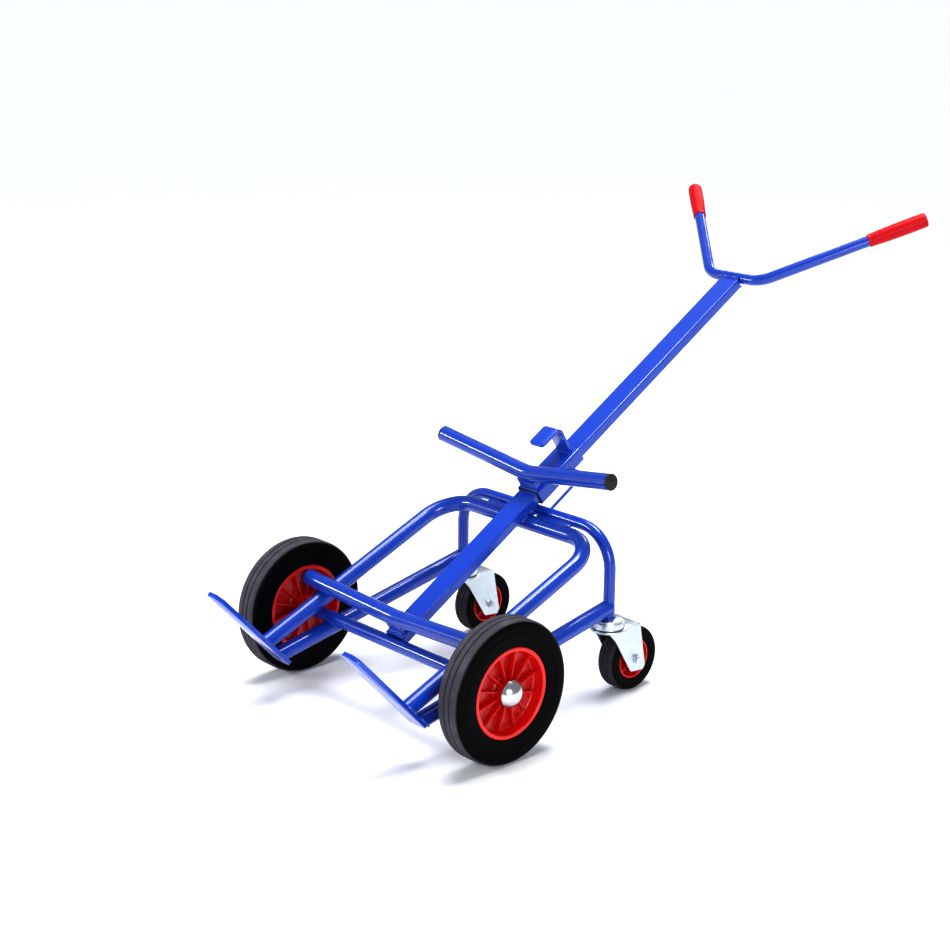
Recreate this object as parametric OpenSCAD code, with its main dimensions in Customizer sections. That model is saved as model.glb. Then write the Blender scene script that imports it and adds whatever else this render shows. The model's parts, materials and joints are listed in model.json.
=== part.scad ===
// Four-wheel drum truck: a welded tube frame on two large wheels and two swivel castors,
// with a hook carriage that slides along a box-section mast.
// +Z is up, +Y points to the castors and the handle, +X is the right-hand wheel.
// The floor is Z = 0, and the origin is below the middle of the whole truck.

/* [Wheels] */
// Diameter of the two large wheels
wheel_d = 260; // [250:1:280]
// Distance between the middles of the two large wheels
track = 572; // [566:1:600]
// Width of a large tyre
tyre_w = 52; // [48:1:56]
// Diameter of the castor wheels
castor_d = 125; // [120:1:130]
// Width of a castor tyre
castor_w = 40; // [36:1:42]
// Distance from a castor's swivel axis back to its wheel axis
castor_trail = 54; // [50:1:56]

/* [Frame] */
// Outside diameter of the bed tube
bed_d = 30; // [28:0.5:31]
// Lean of the bed above the floor, degrees
bed_lean = 22.9; // [22.5:0.1:22.9]
// Distance from the middle to a side of the bed tube
bed_x = 203; // [196:1:206]
// Outside diameter of the rear arch tube
arch_d = 22; // [20:0.5:24]
// Distance from the middle to an arch leg, and to a lower side tube
leg_x = 202; // [200:1:206]
// Distance from the wheel axis back to the arch legs
leg_y = 349; // [346:1:356]
// Height of the arch crossbar's centre line
arch_z = 317; // [312:1:318]
// Outside diameter of the lower side tubes
low_d = 30; // [28:0.5:31]
// Lean of the lower side tubes, degrees
low_lean = 11.6; // [11:0.1:12.5]
// Outside diameter of the cross tube round the axle
axle_tube_d = 25; // [24:0.5:26]
// Diameter of the solid axle
axle_d = 20; // [18:0.5:20]

/* [Toe plates] */
// Length of a toe plate
toe_len = 229; // [200:1:250]
// Width of a toe plate
toe_w = 45; // [40:1:46]
// Thickness of a toe plate
toe_t = 8; // [6:0.5:10]
// Rise of the toe plates above the floor, degrees
toe_rise = 47; // [45:0.5:50]

/* [Mast and handle] */
// Width of the mast tube
mast_w = 46; // [44:1:48]
// Depth of the mast tube
mast_t = 21; // [19:0.5:21]
// Lean of the mast above the floor, degrees
mast_lean = 31.5; // [31.5:0.1:32.5]
// Length along the mast, from its origin to its top end
mast_len = 1100; // [1050:5:1200]
// Outside diameter of the handle tube
handle_d = 22; // [20:0.5:24]
// Half the width between the two handle bends
handle_x = 66; // [60:1:75]
// Splay of a handle arm from the crossbar, degrees
handle_splay = 46.9; // [40:0.1:55]
// Length of a handle arm from the bend's corner
handle_arm = 347; // [320:1:370]
// Length of a grip
grip_len = 121; // [110:1:130]

/* [Cradles and carriage] */
// Outside diameter of the two cradle tubes
cradle_d = 31; // [29:0.5:32]
// Half length of the lower cradle tube
lower_arm = 242; // [235:1:245]
// Half length of the upper cradle tube
upper_arm = 225; // [210:1:235]
// Length of the sliding sleeve
sleeve_len = 128; // [115:1:140]
// Reach of the hook above the sleeve
hook_rise = 64; // [55:1:75]
// Reach of the hook forward over the drum rim
hook_reach = 51; // [40:1:60]
// Diameter of the stop rod
rod_d = 6; // [5:0.5:8]

/* [Hidden] */
$fn = 96;

wheel_r = wheel_d / 2;
castor_r = castor_d / 2;
axle_r = axle_d / 2;
bed_r = bed_d / 2;
arch_r = arch_d / 2;
low_r = low_d / 2;
axle_tube_r = axle_tube_d / 2;
cradle_r = cradle_d / 2;
handle_r = handle_d / 2;
run = 0.06;          // running clearance round a shaft
far = 400;           // longer than any cut needs

// places, with Y measured from the wheel axis
bed_z = 168.8;       // height of the bed's centre line above the wheel axis
bed_cross_t = 342;   // along the bed, to its crossbar
bed_bend = 72;
arch_bend = 72;
low_z = wheel_r - (axle_tube_r + low_r) / cos(low_lean);
leg_foot_z = 152;
toe_x = 193;
heel_y = -110;
heel_z = 64.8;
toe_weld = 73;        // length of the heel part of a toe plate
toe_relief = 0.3;
mast_y = -39;
mast_z = 127.7;
mast_foot = 42;       // along the mast, to its lower end
low_cradle_m = 62.5;  // along the mast
low_cradle_n = 23.5;  // above the mast's front face
low_cradle_v = 4.5;
up_cradle_m = 452.5;
up_cradle_n = 32;
up_cradle_v = 9.1;
up_cradle_tilt = 13;
sleeve_m = 436;
sleeve_wall = 3;
sleeve_gap = 1.5;
sleeve_clear = 0.1;
hook_w = 38;
hook_t = 6;
hook_m = sleeve_m + sleeve_len - 17;
rod_x = 36;
rod_n = -41;
rod_m = 441;
rod_len = 100;
handle_bend = 60;
handle_m = mast_len + handle_r;
handle_n = -9;
grip_bell = 15.5;
grip_end_r = 12.5;
grip_end_t = 3;

// the whole truck's length is centred on the origin
toe_tip_y = heel_y - toe_len * cos(toe_rise);
grip_m = handle_m + (handle_arm + grip_end_t) * sin(handle_splay);
grip_lean = sin(handle_splay) * cos(mast_lean);
grip_tip_y = mast_y + grip_m * cos(mast_lean) - handle_n * sin(mast_lean)
  + grip_end_r * sqrt(1 - grip_lean * grip_lean);
axle_y = -(toe_tip_y + grip_tip_y) / 2;

frame_blue = [0.04, 0.13, 0.82];
rim_red = [0.8, 0.03, 0.04];
grip_red = [0.9, 0.04, 0.1];
tyre_black = [0.05, 0.05, 0.06];
zinc = [0.8, 0.84, 0.87];

// ---- local frames ----

module at_axle() translate([0, axle_y, 0]) children();

// X across, Y along the bed, Z square to it
module on_bed() at_axle() translate([0, 0, bed_z]) rotate([bed_lean, 0, 0]) children();

// X across, Y along the lower side tubes
module on_low() at_axle() translate([0, 0, low_z]) rotate([low_lean, 0, 0]) children();

// X across, Y up along the mast, Z out of the mast's front face
module on_mast() at_axle() translate([0, mast_y, mast_z]) rotate([mast_lean, 0, 0]) children();

// X across, Y from heel to tip of a toe plate, Z away from the drum
module on_toe(side)
  at_axle() translate([side * toe_x, heel_y, heel_z]) rotate([180 - toe_rise, 0, 0]) children();

// Z outwards along the wheel axis, from the middle plane of a large wheel
module on_wheel(side)
  at_axle() translate([side * track / 2, 0, wheel_r]) rotate([0, side * 90, 0]) children();

// Z up along a castor's swivel axis, from the floor
module on_castor(side) at_axle() translate([side * leg_x, leg_y, 0]) children();

// Z along a castor wheel's axis, outwards from its middle plane
module on_castor_wheel(side)
  on_castor(side) translate([0, castor_trail, castor_r]) rotate([0, side * 90, 0]) children();

// ---- helpers ----

// a round bar along X, centred
module x_bar(r, len) rotate([0, 90, 0]) cylinder(h = len, r = r, center = true);

// a bar that runs along +X and turns left: steps are [straight, turn, bend radius]
module bent_bar(r, steps, i = 0) {
  step = steps[i];
  rotate([0, 90, 0]) cylinder(h = step[0], r = r);
  if (i + 1 < len(steps))
    translate([step[0], 0, 0]) {
      translate([0, step[2], 0]) rotate([0, 0, -90])
        rotate_extrude(angle = step[1]) translate([step[2], 0]) circle(r = r);
      translate([step[2] * sin(step[1]), step[2] * (1 - cos(step[1])), 0])
        rotate([0, 0, step[1]]) bent_bar(r, steps, i + 1);
    }
}

// the same bar as a tube, open at both ends
module bent_tube(r, wall, steps) difference() {
  bent_bar(r, steps);
  bent_bar(r - wall, steps);
  translate([-1, 0, 0]) rotate([0, 90, 0]) cylinder(h = 2, r = r - wall);
}

// a cradle's V: two straight arms that meet in a mitre at the origin, rising towards +Y
module cradle_bar(r, arm, slope) for (s = [-1, 1]) difference() {
  rotate([0, 0, s * slope]) rotate([0, s * 90, 0]) translate([0, 0, -20])
    cylinder(h = arm / cos(slope) + 20, r = r);
  translate([-far / 2 - s * far / 2, -far / 2, -far / 2]) cube([far, far, far]);
}

// the V tube in the mast's frame, opening away from the mast
module cradle_tube(r, arm, slope, tilt) rotate([90 - tilt, 0, 0]) cradle_bar(r, arm, slope);

module on_lower_cradle() on_mast() translate([0, low_cradle_m, low_cradle_n]) children();
module on_upper_cradle() on_mast() translate([0, up_cradle_m, up_cradle_n]) children();

module ring(r_out, r_in, h) difference() {
  cylinder(h = h, r = r_out);
  translate([0, 0, -1]) cylinder(h = h + 2, r = r_in);
}

// a bar with round corners along Y, with Z = 0 at its front face
module box_bar(w, t, len, r) rotate([-90, 0, 0]) linear_extrude(len) {
  translate([-w / 2, r]) square([w, t - 2 * r]);
  translate([r - w / 2, 0]) square([w - 2 * r, t]);
  for (x = [r - w / 2, w / 2 - r], y = [r, t - r]) translate([x, y]) circle(r = r);
}

// the same bar as a tube
module box_tube(w, t, len, wall, r) difference() {
  box_bar(w, t, len, r);
  translate([0, -1, -wall]) box_bar(w - 2 * wall, t - 2 * wall, len + 2, max(r - wall, 0.5));
}

// everything on the drum's far side of a toe plate, where a tube may not go
module toe_cut(side)
  on_toe(side) translate([-far / 2, -far / 2, toe_relief - toe_t]) cube([far, far, far]);

// ---- welded frame ----

module bed_bar(r) {
  start = 170;
  side_len = start + bed_cross_t - bed_bend;
  on_bed() translate([-bed_x, -start, 0]) rotate([180, 0, 90])
    bent_bar(r, [[side_len, 90, bed_bend], [2 * (bed_x - bed_bend), 90, bed_bend], [side_len, 0, 0]]);
}

module bed_tube() color(frame_blue) difference() {
  bed_bar(bed_r);
  bed_bar(bed_r - 2.5);
  toe_cut(-1);
  toe_cut(1);
}

module arch_bar(r) {
  leg_len = arch_z - arch_bend - leg_foot_z;
  at_axle() translate([-leg_x, leg_y, leg_foot_z]) rotate([-90, -90, 0])
    bent_bar(r, [[leg_len, 90, arch_bend], [2 * (leg_x - arch_bend), 90, arch_bend], [leg_len, 0, 0]]);
}

module rear_arch() color(frame_blue) difference() {
  arch_bar(arch_r);
  arch_bar(arch_r - 2);
}

module lower_tube(side) color(frame_blue) difference() {
  on_low() translate([side * leg_x, -150, 0]) rotate([-90, 0, 0]) cylinder(h = 600, r = low_r);
  on_low() translate([side * leg_x, -151, 0]) rotate([-90, 0, 0]) cylinder(h = 602, r = low_r - 2.5);
  toe_cut(side);
  // saddle round the arch leg
  on_castor(side) cylinder(h = far, r = arch_r);
  on_castor(side) translate([-far / 2, 0, 0]) cube([far, far, far]);
}

module lower_tube_left() lower_tube(-1);
module lower_tube_right() lower_tube(1);

module toe_plate(side) color(frame_blue) on_toe(side) difference() {
  translate([-toe_w / 2, 0, -toe_t]) cube([toe_w, toe_len, toe_t]);
  // the heel, where the tubes are welded on, is a little thinner than the drum's part
  translate([-toe_w, -1, -2 * toe_t]) cube([2 * toe_w, toe_weld + 1, toe_t + toe_relief]);
  // chamfered tip corners
  for (s = [-1, 1])
    translate([s * toe_w / 2, toe_len, 0]) rotate([0, 0, 45])
      cube([17, 17, 3 * toe_t], center = true);
  // rounded heel corners
  for (s = [-1, 1]) translate([s * toe_w / 2, 0, 0]) difference() {
    cube([16, 16, 3 * toe_t], center = true);
    translate([-s * 8, 8, 0]) cylinder(h = 4 * toe_t, r = 8, center = true);
  }
}

module toe_plate_left() toe_plate(-1);
module toe_plate_right() toe_plate(1);

module axle_tube() color(frame_blue) difference() {
  at_axle() translate([0, 0, wheel_r]) x_bar(axle_tube_r, 2 * (track / 2 - 38));
  at_axle() translate([0, 0, wheel_r]) x_bar(axle_r + 0.2, 2 * track);
}

module lower_cradle_tube() color(frame_blue) difference() {
  on_lower_cradle() cradle_tube(cradle_r, lower_arm, low_cradle_v, 0);
  on_lower_cradle() cradle_tube(cradle_r - 2.5, lower_arm + 2, low_cradle_v, 0);
  // saddles over the sides of the bed tube
  for (s = [-1, 1])
    on_bed() translate([s * bed_x, -100, 0]) rotate([-90, 0, 0]) cylinder(h = 200, r = bed_r);
}

// pad between the bend of the lower cradle tube and the mast
module cradle_foot_pad() color(frame_blue) difference() {
  on_mast() translate([-20, low_cradle_m - 12.5, 0]) cube([40, 25, low_cradle_n - 4]);
  on_lower_cradle() cradle_tube(cradle_r, lower_arm, low_cradle_v, 0);
}

module mast() color(frame_blue) difference() {
  on_mast() translate([0, mast_foot, 0]) box_tube(mast_w, mast_t, mast_len - 3 - mast_foot, 2.5, 3);
  on_mast() translate([0, mast_len - 3, 0]) box_bar(mast_w, mast_t, 3, 3);
  // saddle round the axle tube
  at_axle() translate([0, 0, wheel_r]) x_bar(axle_tube_r, far);
}

module arch_crossbar_cut() at_axle() translate([0, leg_y, arch_z]) x_bar(arch_r, far);
module bed_crossbar_cut() on_bed() translate([0, bed_cross_t, 0]) x_bar(bed_r, far);

// fills the space between the mast and the arch crossbar
module mast_spacer_block() color(frame_blue) difference() {
  on_mast() translate([-18, 400, -mast_t - 15]) cube([36, 33, 15]);
  arch_crossbar_cut();
  bed_crossbar_cut();
}

// strips that join the two crossbars
module crossbar_webs() {
  bed_y = bed_cross_t * cos(bed_lean);
  rise = arch_z - bed_z - bed_cross_t * sin(bed_lean);
  gap = norm([leg_y - bed_y, rise]);
  color(frame_blue) for (s = [-1, 1]) difference() {
    at_axle() translate([s * 67, leg_y, arch_z]) rotate([atan2(rise, leg_y - bed_y), 0, 0])
      translate([-43.5, -gap, -2.5]) cube([87, gap, 5]);
    arch_crossbar_cut();
    bed_crossbar_cut();
  }
}

// ---- handle ----

handle_tangent = handle_bend * tan(handle_splay / 2);
handle_seam = 0.02;   // hairline where an arm meets its bend

// the crossbar and its two bends
module handle_middle(r) for (s = [0, 1]) mirror([s, 0, 0]) {
  rotate([0, 90, 0]) cylinder(h = handle_x - handle_tangent, r = r);
  translate([handle_x - handle_tangent, handle_bend, 0]) rotate([0, 0, -90])
    rotate_extrude(angle = handle_splay) translate([handle_bend, 0]) circle(r = r);
}

module handlebar() color(frame_blue) {
  on_mast() translate([0, handle_m, handle_n]) difference() {
    handle_middle(handle_r);
    handle_middle(handle_r - 2);
  }
  for (side = [-1, 1]) on_arm_end(side)
    ring(handle_r, handle_r - 2, handle_arm - handle_tangent - handle_seam);
}

// Z along a handle arm, from the arm's end back towards the bend
module on_arm_end(side)
  on_mast() translate([side * handle_x, handle_m, handle_n])
    rotate([0, 0, side * (handle_splay - 90)]) translate([0, handle_arm, 0]) rotate([90, 0, 0])
      children();

module grip(side) color(grip_red) on_arm_end(side) rotate_extrude() polygon([
  [0, -grip_end_t], [grip_end_r, -grip_end_t], [grip_bell, 3], [grip_bell, 44], [13.2, 100], [14.4, 108],
  [14.4, grip_len - 3], [handle_r, grip_len - 3], [handle_r, 0], [0, 0]]);

module grip_left() grip(-1);
module grip_right() grip(1);

// ---- axle and large wheels ----

hub_out = 21.5;      // the hub's ends, from the wheel's middle plane
hub_in = -34;
tread = 14;          // half width of the tread
shoulder = tyre_w / 2 - tread;

module axle() color(zinc)
  at_axle() translate([0, 0, wheel_r]) x_bar(axle_r, 2 * (track / 2 + 30));

module axle_washers() color(zinc) for (side = [-1, 1]) on_wheel(side) {
  translate([0, 0, hub_in - 2.7]) ring(17, axle_r + 0.05, 2.4);
  translate([0, 0, hub_out + 0.3]) ring(17, axle_r + 0.05, 1.4);
}

module hub_cap(side) color([0.85, 0.86, 0.88]) on_wheel(side) translate([0, 0, hub_out + 2]) {
  cap_r = 25;
  cap_h = 15;
  ball = (cap_r * cap_r + cap_h * cap_h) / (2 * cap_h);
  difference() {
    union() {
      difference() {
        translate([0, 0, cap_h - ball]) sphere(r = ball);
        translate([0, 0, cap_h - ball]) sphere(r = ball - 1.5);
      }
      // collar that grips the axle
      intersection() {
        cylinder(h = cap_h, r = axle_r + 2);
        translate([0, 0, cap_h - ball]) sphere(r = ball - 1);
      }
    }
    translate([0, 0, -2 * ball]) cylinder(h = 2 * ball, r = 2 * ball);
    translate([0, 0, -1]) cylinder(h = 30 - hub_out, r = axle_r);
  }
}

module hub_cap_left() hub_cap(-1);
module hub_cap_right() hub_cap(1);

// half of a symmetric profile, drawn for both sides of the wheel's middle plane
module both_sides() {
  children();
  mirror([0, 1]) children();
}

module wheel_rim(side) color(rim_red) on_wheel(side) {
  rotate_extrude() {
    both_sides() {
      translate([76, 0]) square([8, 21]);
      translate([79, 20.5]) circle(r = 3.5);
      translate([20, 0]) square([57, 2]);
    }
    translate([12, hub_in]) square([10, hub_out - hub_in]);
  }
  // radial ribs on both faces of the web
  for (a = [0:30:330], flip = [0, 180]) rotate([0, flip, a + 15])
    translate([0, 1.25, 0]) rotate([90, 0, 0]) linear_extrude(2.5)
      polygon([[21, 1], [77, 1], [77, 15], [21, 19]]);
}

module wheel_tyre(side) color(tyre_black) on_wheel(side) rotate_extrude() difference() {
  both_sides() {
    translate([84, 0]) square([wheel_r - shoulder - 84, tyre_w / 2]);
    translate([84, 0]) square([wheel_r - 84, tread]);
    translate([wheel_r - shoulder, tread]) circle(r = shoulder);
    translate([104, tyre_w / 2]) circle(r = 1.2);
  }
  // two grooves leave three ribs on the tread
  both_sides() translate([wheel_r - 3, 4.6]) square([4, 2.6]);
}

module wheel_bush(side) color([0.9, 0.9, 0.85]) on_wheel(side) translate([0, 0, hub_in])
  ring(12, axle_r + run, hub_out - hub_in);

module wheel_rim_left() wheel_rim(-1);
module wheel_rim_right() wheel_rim(1);
module wheel_tyre_left() wheel_tyre(-1);
module wheel_tyre_right() wheel_tyre(1);
module wheel_bush_left() wheel_bush(-1);
module wheel_bush_right() wheel_bush(1);

// ---- sliding carriage ----

sleeve_w = mast_w + 2 * (sleeve_gap + sleeve_wall);
sleeve_t = mast_t + 2 * (sleeve_gap + sleeve_wall);
sleeve_top = sleeve_gap + sleeve_wall;

module carriage_sleeve() color(frame_blue) on_mast() translate([0, sleeve_m, sleeve_top])
  box_tube(sleeve_w, sleeve_t, sleeve_len, sleeve_wall, 4);

// plastic bearing at each end of the sleeve, with a thin lip over the lower end
module sleeve_liners() color([0.06, 0.06, 0.06]) {
  liner_wall = sleeve_gap - sleeve_clear;
  liner_w = mast_w + 2 * sleeve_gap;
  liner_t = mast_t + 2 * sleeve_gap;
  lip = 1.5;
  for (end = [0, 1]) on_mast()
    translate([0, sleeve_m + end * sleeve_len, sleeve_gap]) mirror([0, end, 0])
      box_tube(liner_w, liner_t, 24, liner_wall, 1.5);
  on_mast() translate([0, sleeve_m - lip, sleeve_top - 0.5])
    box_tube(sleeve_w - 1, sleeve_t - 1, lip, sleeve_top - 0.5 - sleeve_clear, 3.5);
}

// block under the bend of the upper cradle tube
module cradle_saddle() color(frame_blue) difference() {
  on_mast() translate([-22, up_cradle_m - 13, sleeve_top]) cube([44, 26, 20]);
  on_upper_cradle() cradle_tube(cradle_r, upper_arm, up_cradle_v, up_cradle_tilt);
}

module upper_cradle_tube() color(frame_blue) difference() {
  on_upper_cradle() cradle_tube(cradle_r, upper_arm, up_cradle_v, up_cradle_tilt);
  on_upper_cradle() cradle_tube(cradle_r - 2.5, upper_arm + 2, up_cradle_v, up_cradle_tilt);
}

// X along an arm of the upper cradle, from the arm's end outwards
module on_upper_end(side)
  on_upper_cradle() rotate([90 - up_cradle_tilt, 0, 0])
    rotate([0, 0, side * up_cradle_v]) translate([side * upper_arm / cos(up_cradle_v), 0, 0])
      rotate([0, side * 90, 0]) children();

module cradle_end_caps() color([0.05, 0.05, 0.05]) for (side = [-1, 1]) on_upper_end(side) {
  rotate_extrude() {
    square([cradle_r, 2]);
    translate([0, 2]) square([cradle_r - 2, 2]);
    intersection() {
      translate([cradle_r - 2, 2]) circle(r = 2);
      translate([0, 2]) square([cradle_r, 2]);
    }
  }
  translate([0, 0, -14]) ring(cradle_r - 2.5, cradle_r - 5, 14);
}

// flat bar that stands on the sleeve and bends forward over the drum's rim
module drum_hook() {
  bend = 14;
  color(frame_blue) on_mast() translate([-hook_w / 2, hook_m, sleeve_top]) {
    translate([0, 0, 0]) cube([hook_w, hook_t, hook_rise - bend]);
    translate([0, hook_t - bend, hook_rise - bend]) rotate([0, 90, 0]) rotate([0, 0, 90])
      rotate_extrude(angle = 90) translate([bend - hook_t, 0]) square([hook_t, hook_w]);
    difference() {
      translate([0, -hook_reach, hook_rise - hook_t])
        cube([hook_w, hook_reach + hook_t - bend, hook_t]);
      // rounded tip corners
      for (s = [0, 1]) translate([s * hook_w, -hook_reach, hook_rise - hook_t / 2]) difference() {
        cube([16, 16, 2 * hook_t], center = true);
        translate([(0.5 - s) * 16, 8, 0]) cylinder(h = 3 * hook_t, r = 8, center = true);
      }
    }
  }
}

// rod whose lower end lands on the arch crossbar and stops the carriage
module stop_rod() color(frame_blue)
  on_mast() translate([rod_x, rod_m, rod_n]) rotate([-90, 0, 0]) cylinder(h = rod_len, r = rod_d / 2);

// lug that carries the rod under the sleeve's corner
module stop_rod_lug() color(frame_blue) difference() {
  on_mast() translate([sleeve_w / 2 - 12, rod_m + rod_len - 14, rod_n - 7])
    cube([rod_x - sleeve_w / 2 + 19, 10, sleeve_top - sleeve_t - rod_n + 7]);
  on_mast() translate([rod_x, rod_m, rod_n]) rotate([-90, 0, 0])
    cylinder(h = rod_len + 20, r = rod_d / 2);
}

// ---- castors ----

plate_z = leg_foot_z - 4;     // underside of the castor's top plate
crown_z = 130;                // underside of the fork's crown
fork_in = castor_w / 2 + 2;   // inner face of a fork leg
fork_t = 3;
king_r = 5;
cup_z = plate_z - 4.3;         // inside top of the ball cup

// top plate, ball cup and king pin, with a stem inside the arch leg
module castor_head(side) color(zinc) on_castor(side) {
  translate([0, 0, leg_foot_z]) cylinder(h = 32, r = arch_r - 2.1);
  translate([0, 0, plate_z]) cylinder(h = 4, r = 28);
  translate([0, 0, cup_z]) cylinder(h = plate_z - cup_z, r = 30);
  translate([0, 0, crown_z + 5]) ring(30, 26.5, cup_z - crown_z - 5);
  translate([0, 0, crown_z - 0.4]) cylinder(h = plate_z - crown_z, r = king_r);
  translate([0, 0, crown_z - 3.4]) cylinder(h = 3, r = 8);
}

module castor_balls(side) color([0.7, 0.72, 0.75]) on_castor(side)
  for (a = [0:30:330]) rotate([0, 0, a]) translate([22, 0, plate_z - 7.3]) sphere(r = 3);

module castor_fork(side) color(zinc) on_castor(side) difference() {
  union() {
    translate([0, 0, crown_z]) cylinder(h = 3.5, r = 34);
    translate([0, 0, crown_z + 3.5]) cylinder(h = 4.1, r = 25.5);
    translate([-fork_in - fork_t, 0, crown_z]) cube([2 * (fork_in + fork_t), 62, 3.5]);
    for (s = [-1, 1])
      translate([s * (fork_in + fork_t / 2) - fork_t / 2, 0, 0]) rotate([90, 0, 90])
        linear_extrude(fork_t) difference() {
          polygon([[-22, crown_z], [-5, 112], [36, 45], [40, 41], [72, 38], [78, 46], [62, crown_z]]);
          translate([castor_trail, castor_r]) circle(r = 4.1);
        }
  }
  translate([0, 0, crown_z - 1]) cylinder(h = 20, r = king_r + run);
}

module castor_bolt(side) color(zinc) on_castor_wheel(side) {
  translate([0, 0, -fork_in - fork_t - 9]) cylinder(h = 2 * (fork_in + fork_t) + 9, r = 4);
  translate([0, 0, fork_in + fork_t]) cylinder(h = 1.4, r = 9);
  translate([0, 0, fork_in + fork_t + 1.4]) cylinder(h = 5, r = 7.5, $fn = 6);
}

module castor_nut(side) color(zinc) on_castor_wheel(side) translate([0, 0, -fork_in - fork_t - 6.5])
  difference() {
    cylinder(h = 6.5, r = 7.5, $fn = 6);
    translate([0, 0, -1]) cylinder(h = 10, r = 4.02);
  }

module castor_rim(side) color(rim_red) on_castor_wheel(side) {
  rotate_extrude() both_sides() {
    translate([35, 0]) square([5, castor_w / 2 - 4]);
    translate([37.5, castor_w / 2 - 5]) circle(r = 2.5);
    translate([12, 0]) square([24, 2.5]);
    translate([7, 0]) square([6, castor_w / 2]);
  }
  for (a = [0:45:315], flip = [0, 180]) rotate([0, flip, a])
    translate([0, 1, 0]) rotate([90, 0, 0]) linear_extrude(2)
      polygon([[12.5, 2], [35.5, 2], [35.5, 12], [12.5, 16]]);
}

module castor_tyre(side) color(tyre_black) on_castor_wheel(side) rotate_extrude() difference() {
  both_sides() {
    translate([40, 0]) square([castor_r - 40 - 8, castor_w / 2]);
    translate([40, 0]) square([castor_r - 40, castor_w / 2 - 8]);
    translate([castor_r - 8, castor_w / 2 - 8]) circle(r = 8);
  }
  both_sides() translate([castor_r - 1.5, 2.4]) square([2, 1.6]);
}

module castor_bush(side) color([0.9, 0.9, 0.85]) on_castor_wheel(side)
  translate([0, 0, -castor_w / 2 - 1.7]) ring(7, 4 + run, castor_w + 3.4);

module castor_head_left() castor_head(-1);
module castor_head_right() castor_head(1);
module castor_balls_left() castor_balls(-1);
module castor_balls_right() castor_balls(1);
module castor_fork_left() castor_fork(-1);
module castor_fork_right() castor_fork(1);
module castor_bolt_left() castor_bolt(-1);
module castor_bolt_right() castor_bolt(1);
module castor_nut_left() castor_nut(-1);
module castor_nut_right() castor_nut(1);
module castor_rim_left() castor_rim(-1);
module castor_rim_right() castor_rim(1);
module castor_tyre_left() castor_tyre(-1);
module castor_tyre_right() castor_tyre(1);
module castor_bush_left() castor_bush(-1);
module castor_bush_right() castor_bush(1);

bed_tube();
rear_arch();
lower_tube_left();
lower_tube_right();
toe_plate_left();
toe_plate_right();
axle_tube();
lower_cradle_tube();
cradle_foot_pad();
mast();
mast_spacer_block();
crossbar_webs();
handlebar();
grip_left();
grip_right();
axle();
axle_washers();
hub_cap_left();
hub_cap_right();
wheel_rim_left();
wheel_rim_right();
wheel_tyre_left();
wheel_tyre_right();
wheel_bush_left();
wheel_bush_right();
carriage_sleeve();
sleeve_liners();
cradle_saddle();
upper_cradle_tube();
cradle_end_caps();
drum_hook();
stop_rod();
stop_rod_lug();
castor_head_left();
castor_head_right();
castor_fork_left();
castor_fork_right();
castor_balls_left();
castor_balls_right();
castor_bolt_left();
castor_bolt_right();
castor_nut_left();
castor_nut_right();
castor_rim_left();
castor_rim_right();
castor_tyre_left();
castor_tyre_right();
castor_bush_left();
castor_bush_right();
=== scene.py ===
"""Drum dolly: the looks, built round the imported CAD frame. Metres, the frame's own axes."""
import json
import math

import bmesh
import bpy
from bpy.props import FloatProperty, FloatVectorProperty, IntProperty, PointerProperty
from mathutils import Matrix, Vector


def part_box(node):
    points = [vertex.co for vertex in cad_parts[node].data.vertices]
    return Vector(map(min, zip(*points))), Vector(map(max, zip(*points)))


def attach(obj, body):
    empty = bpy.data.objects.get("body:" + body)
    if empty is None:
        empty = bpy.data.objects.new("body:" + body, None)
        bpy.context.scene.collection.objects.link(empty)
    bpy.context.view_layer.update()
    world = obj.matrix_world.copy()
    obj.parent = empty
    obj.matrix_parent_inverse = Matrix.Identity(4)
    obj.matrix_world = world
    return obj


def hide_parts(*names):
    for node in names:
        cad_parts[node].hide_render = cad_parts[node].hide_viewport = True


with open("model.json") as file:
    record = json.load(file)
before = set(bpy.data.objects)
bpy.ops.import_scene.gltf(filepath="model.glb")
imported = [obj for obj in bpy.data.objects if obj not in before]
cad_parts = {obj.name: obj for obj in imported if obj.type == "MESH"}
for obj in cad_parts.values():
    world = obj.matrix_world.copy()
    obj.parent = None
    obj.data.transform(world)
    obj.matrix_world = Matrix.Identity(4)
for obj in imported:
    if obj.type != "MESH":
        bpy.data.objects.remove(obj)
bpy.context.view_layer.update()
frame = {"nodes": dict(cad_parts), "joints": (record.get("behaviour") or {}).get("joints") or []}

bl_info = {
    "name": "Drum dolly",
    "version": (1, 0, 0),
    "blender": (4, 5, 0),
    "location": "View3D > Sidebar > Drum dolly",
    "description": "Builds a four-wheel drum truck round its CAD frame",
    "category": "Object",
}

SIDES = {"left": -1, "right": 1}
JOINTS = {joint["name"]: joint for joint in frame["joints"]}
WHEEL_AT = {side: Vector(JOINTS["wheel_spin_" + side]["pos_m"]) for side in SIDES}
CASTOR_AT = {side: Vector(JOINTS["castor_spin_" + side]["pos_m"]) for side in SIDES}
AXLE_AT = (WHEEL_AT["left"] + WHEEL_AT["right"]) / 2
WHEEL_R = AXLE_AT.z
CASTOR_R = CASTOR_AT["right"].z
LEG_AT = Vector(JOINTS["castor_swivel_right"]["pos_m"])
LEG_X, LEG_Y = LEG_AT.x, LEG_AT.y
UP_MAST = Vector(JOINTS["carriage_slide"]["axis"])
MAST_LEAN = math.atan2(UP_MAST.z, UP_MAST.y)
QUARTER = math.pi / 2
FULL = 2 * math.pi

# places along the mast from its origin, and heights above its front face
MAST_FOOT = 0.042
LOWER_CRADLE, LOWER_CRADLE_HEIGHT = 0.0625, 0.0235
UPPER_CRADLE, UPPER_CRADLE_HEIGHT = 0.4525, 0.032
HOOK_FOOT = 0.547
SLEEVE_TOP = 0.0045


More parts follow.
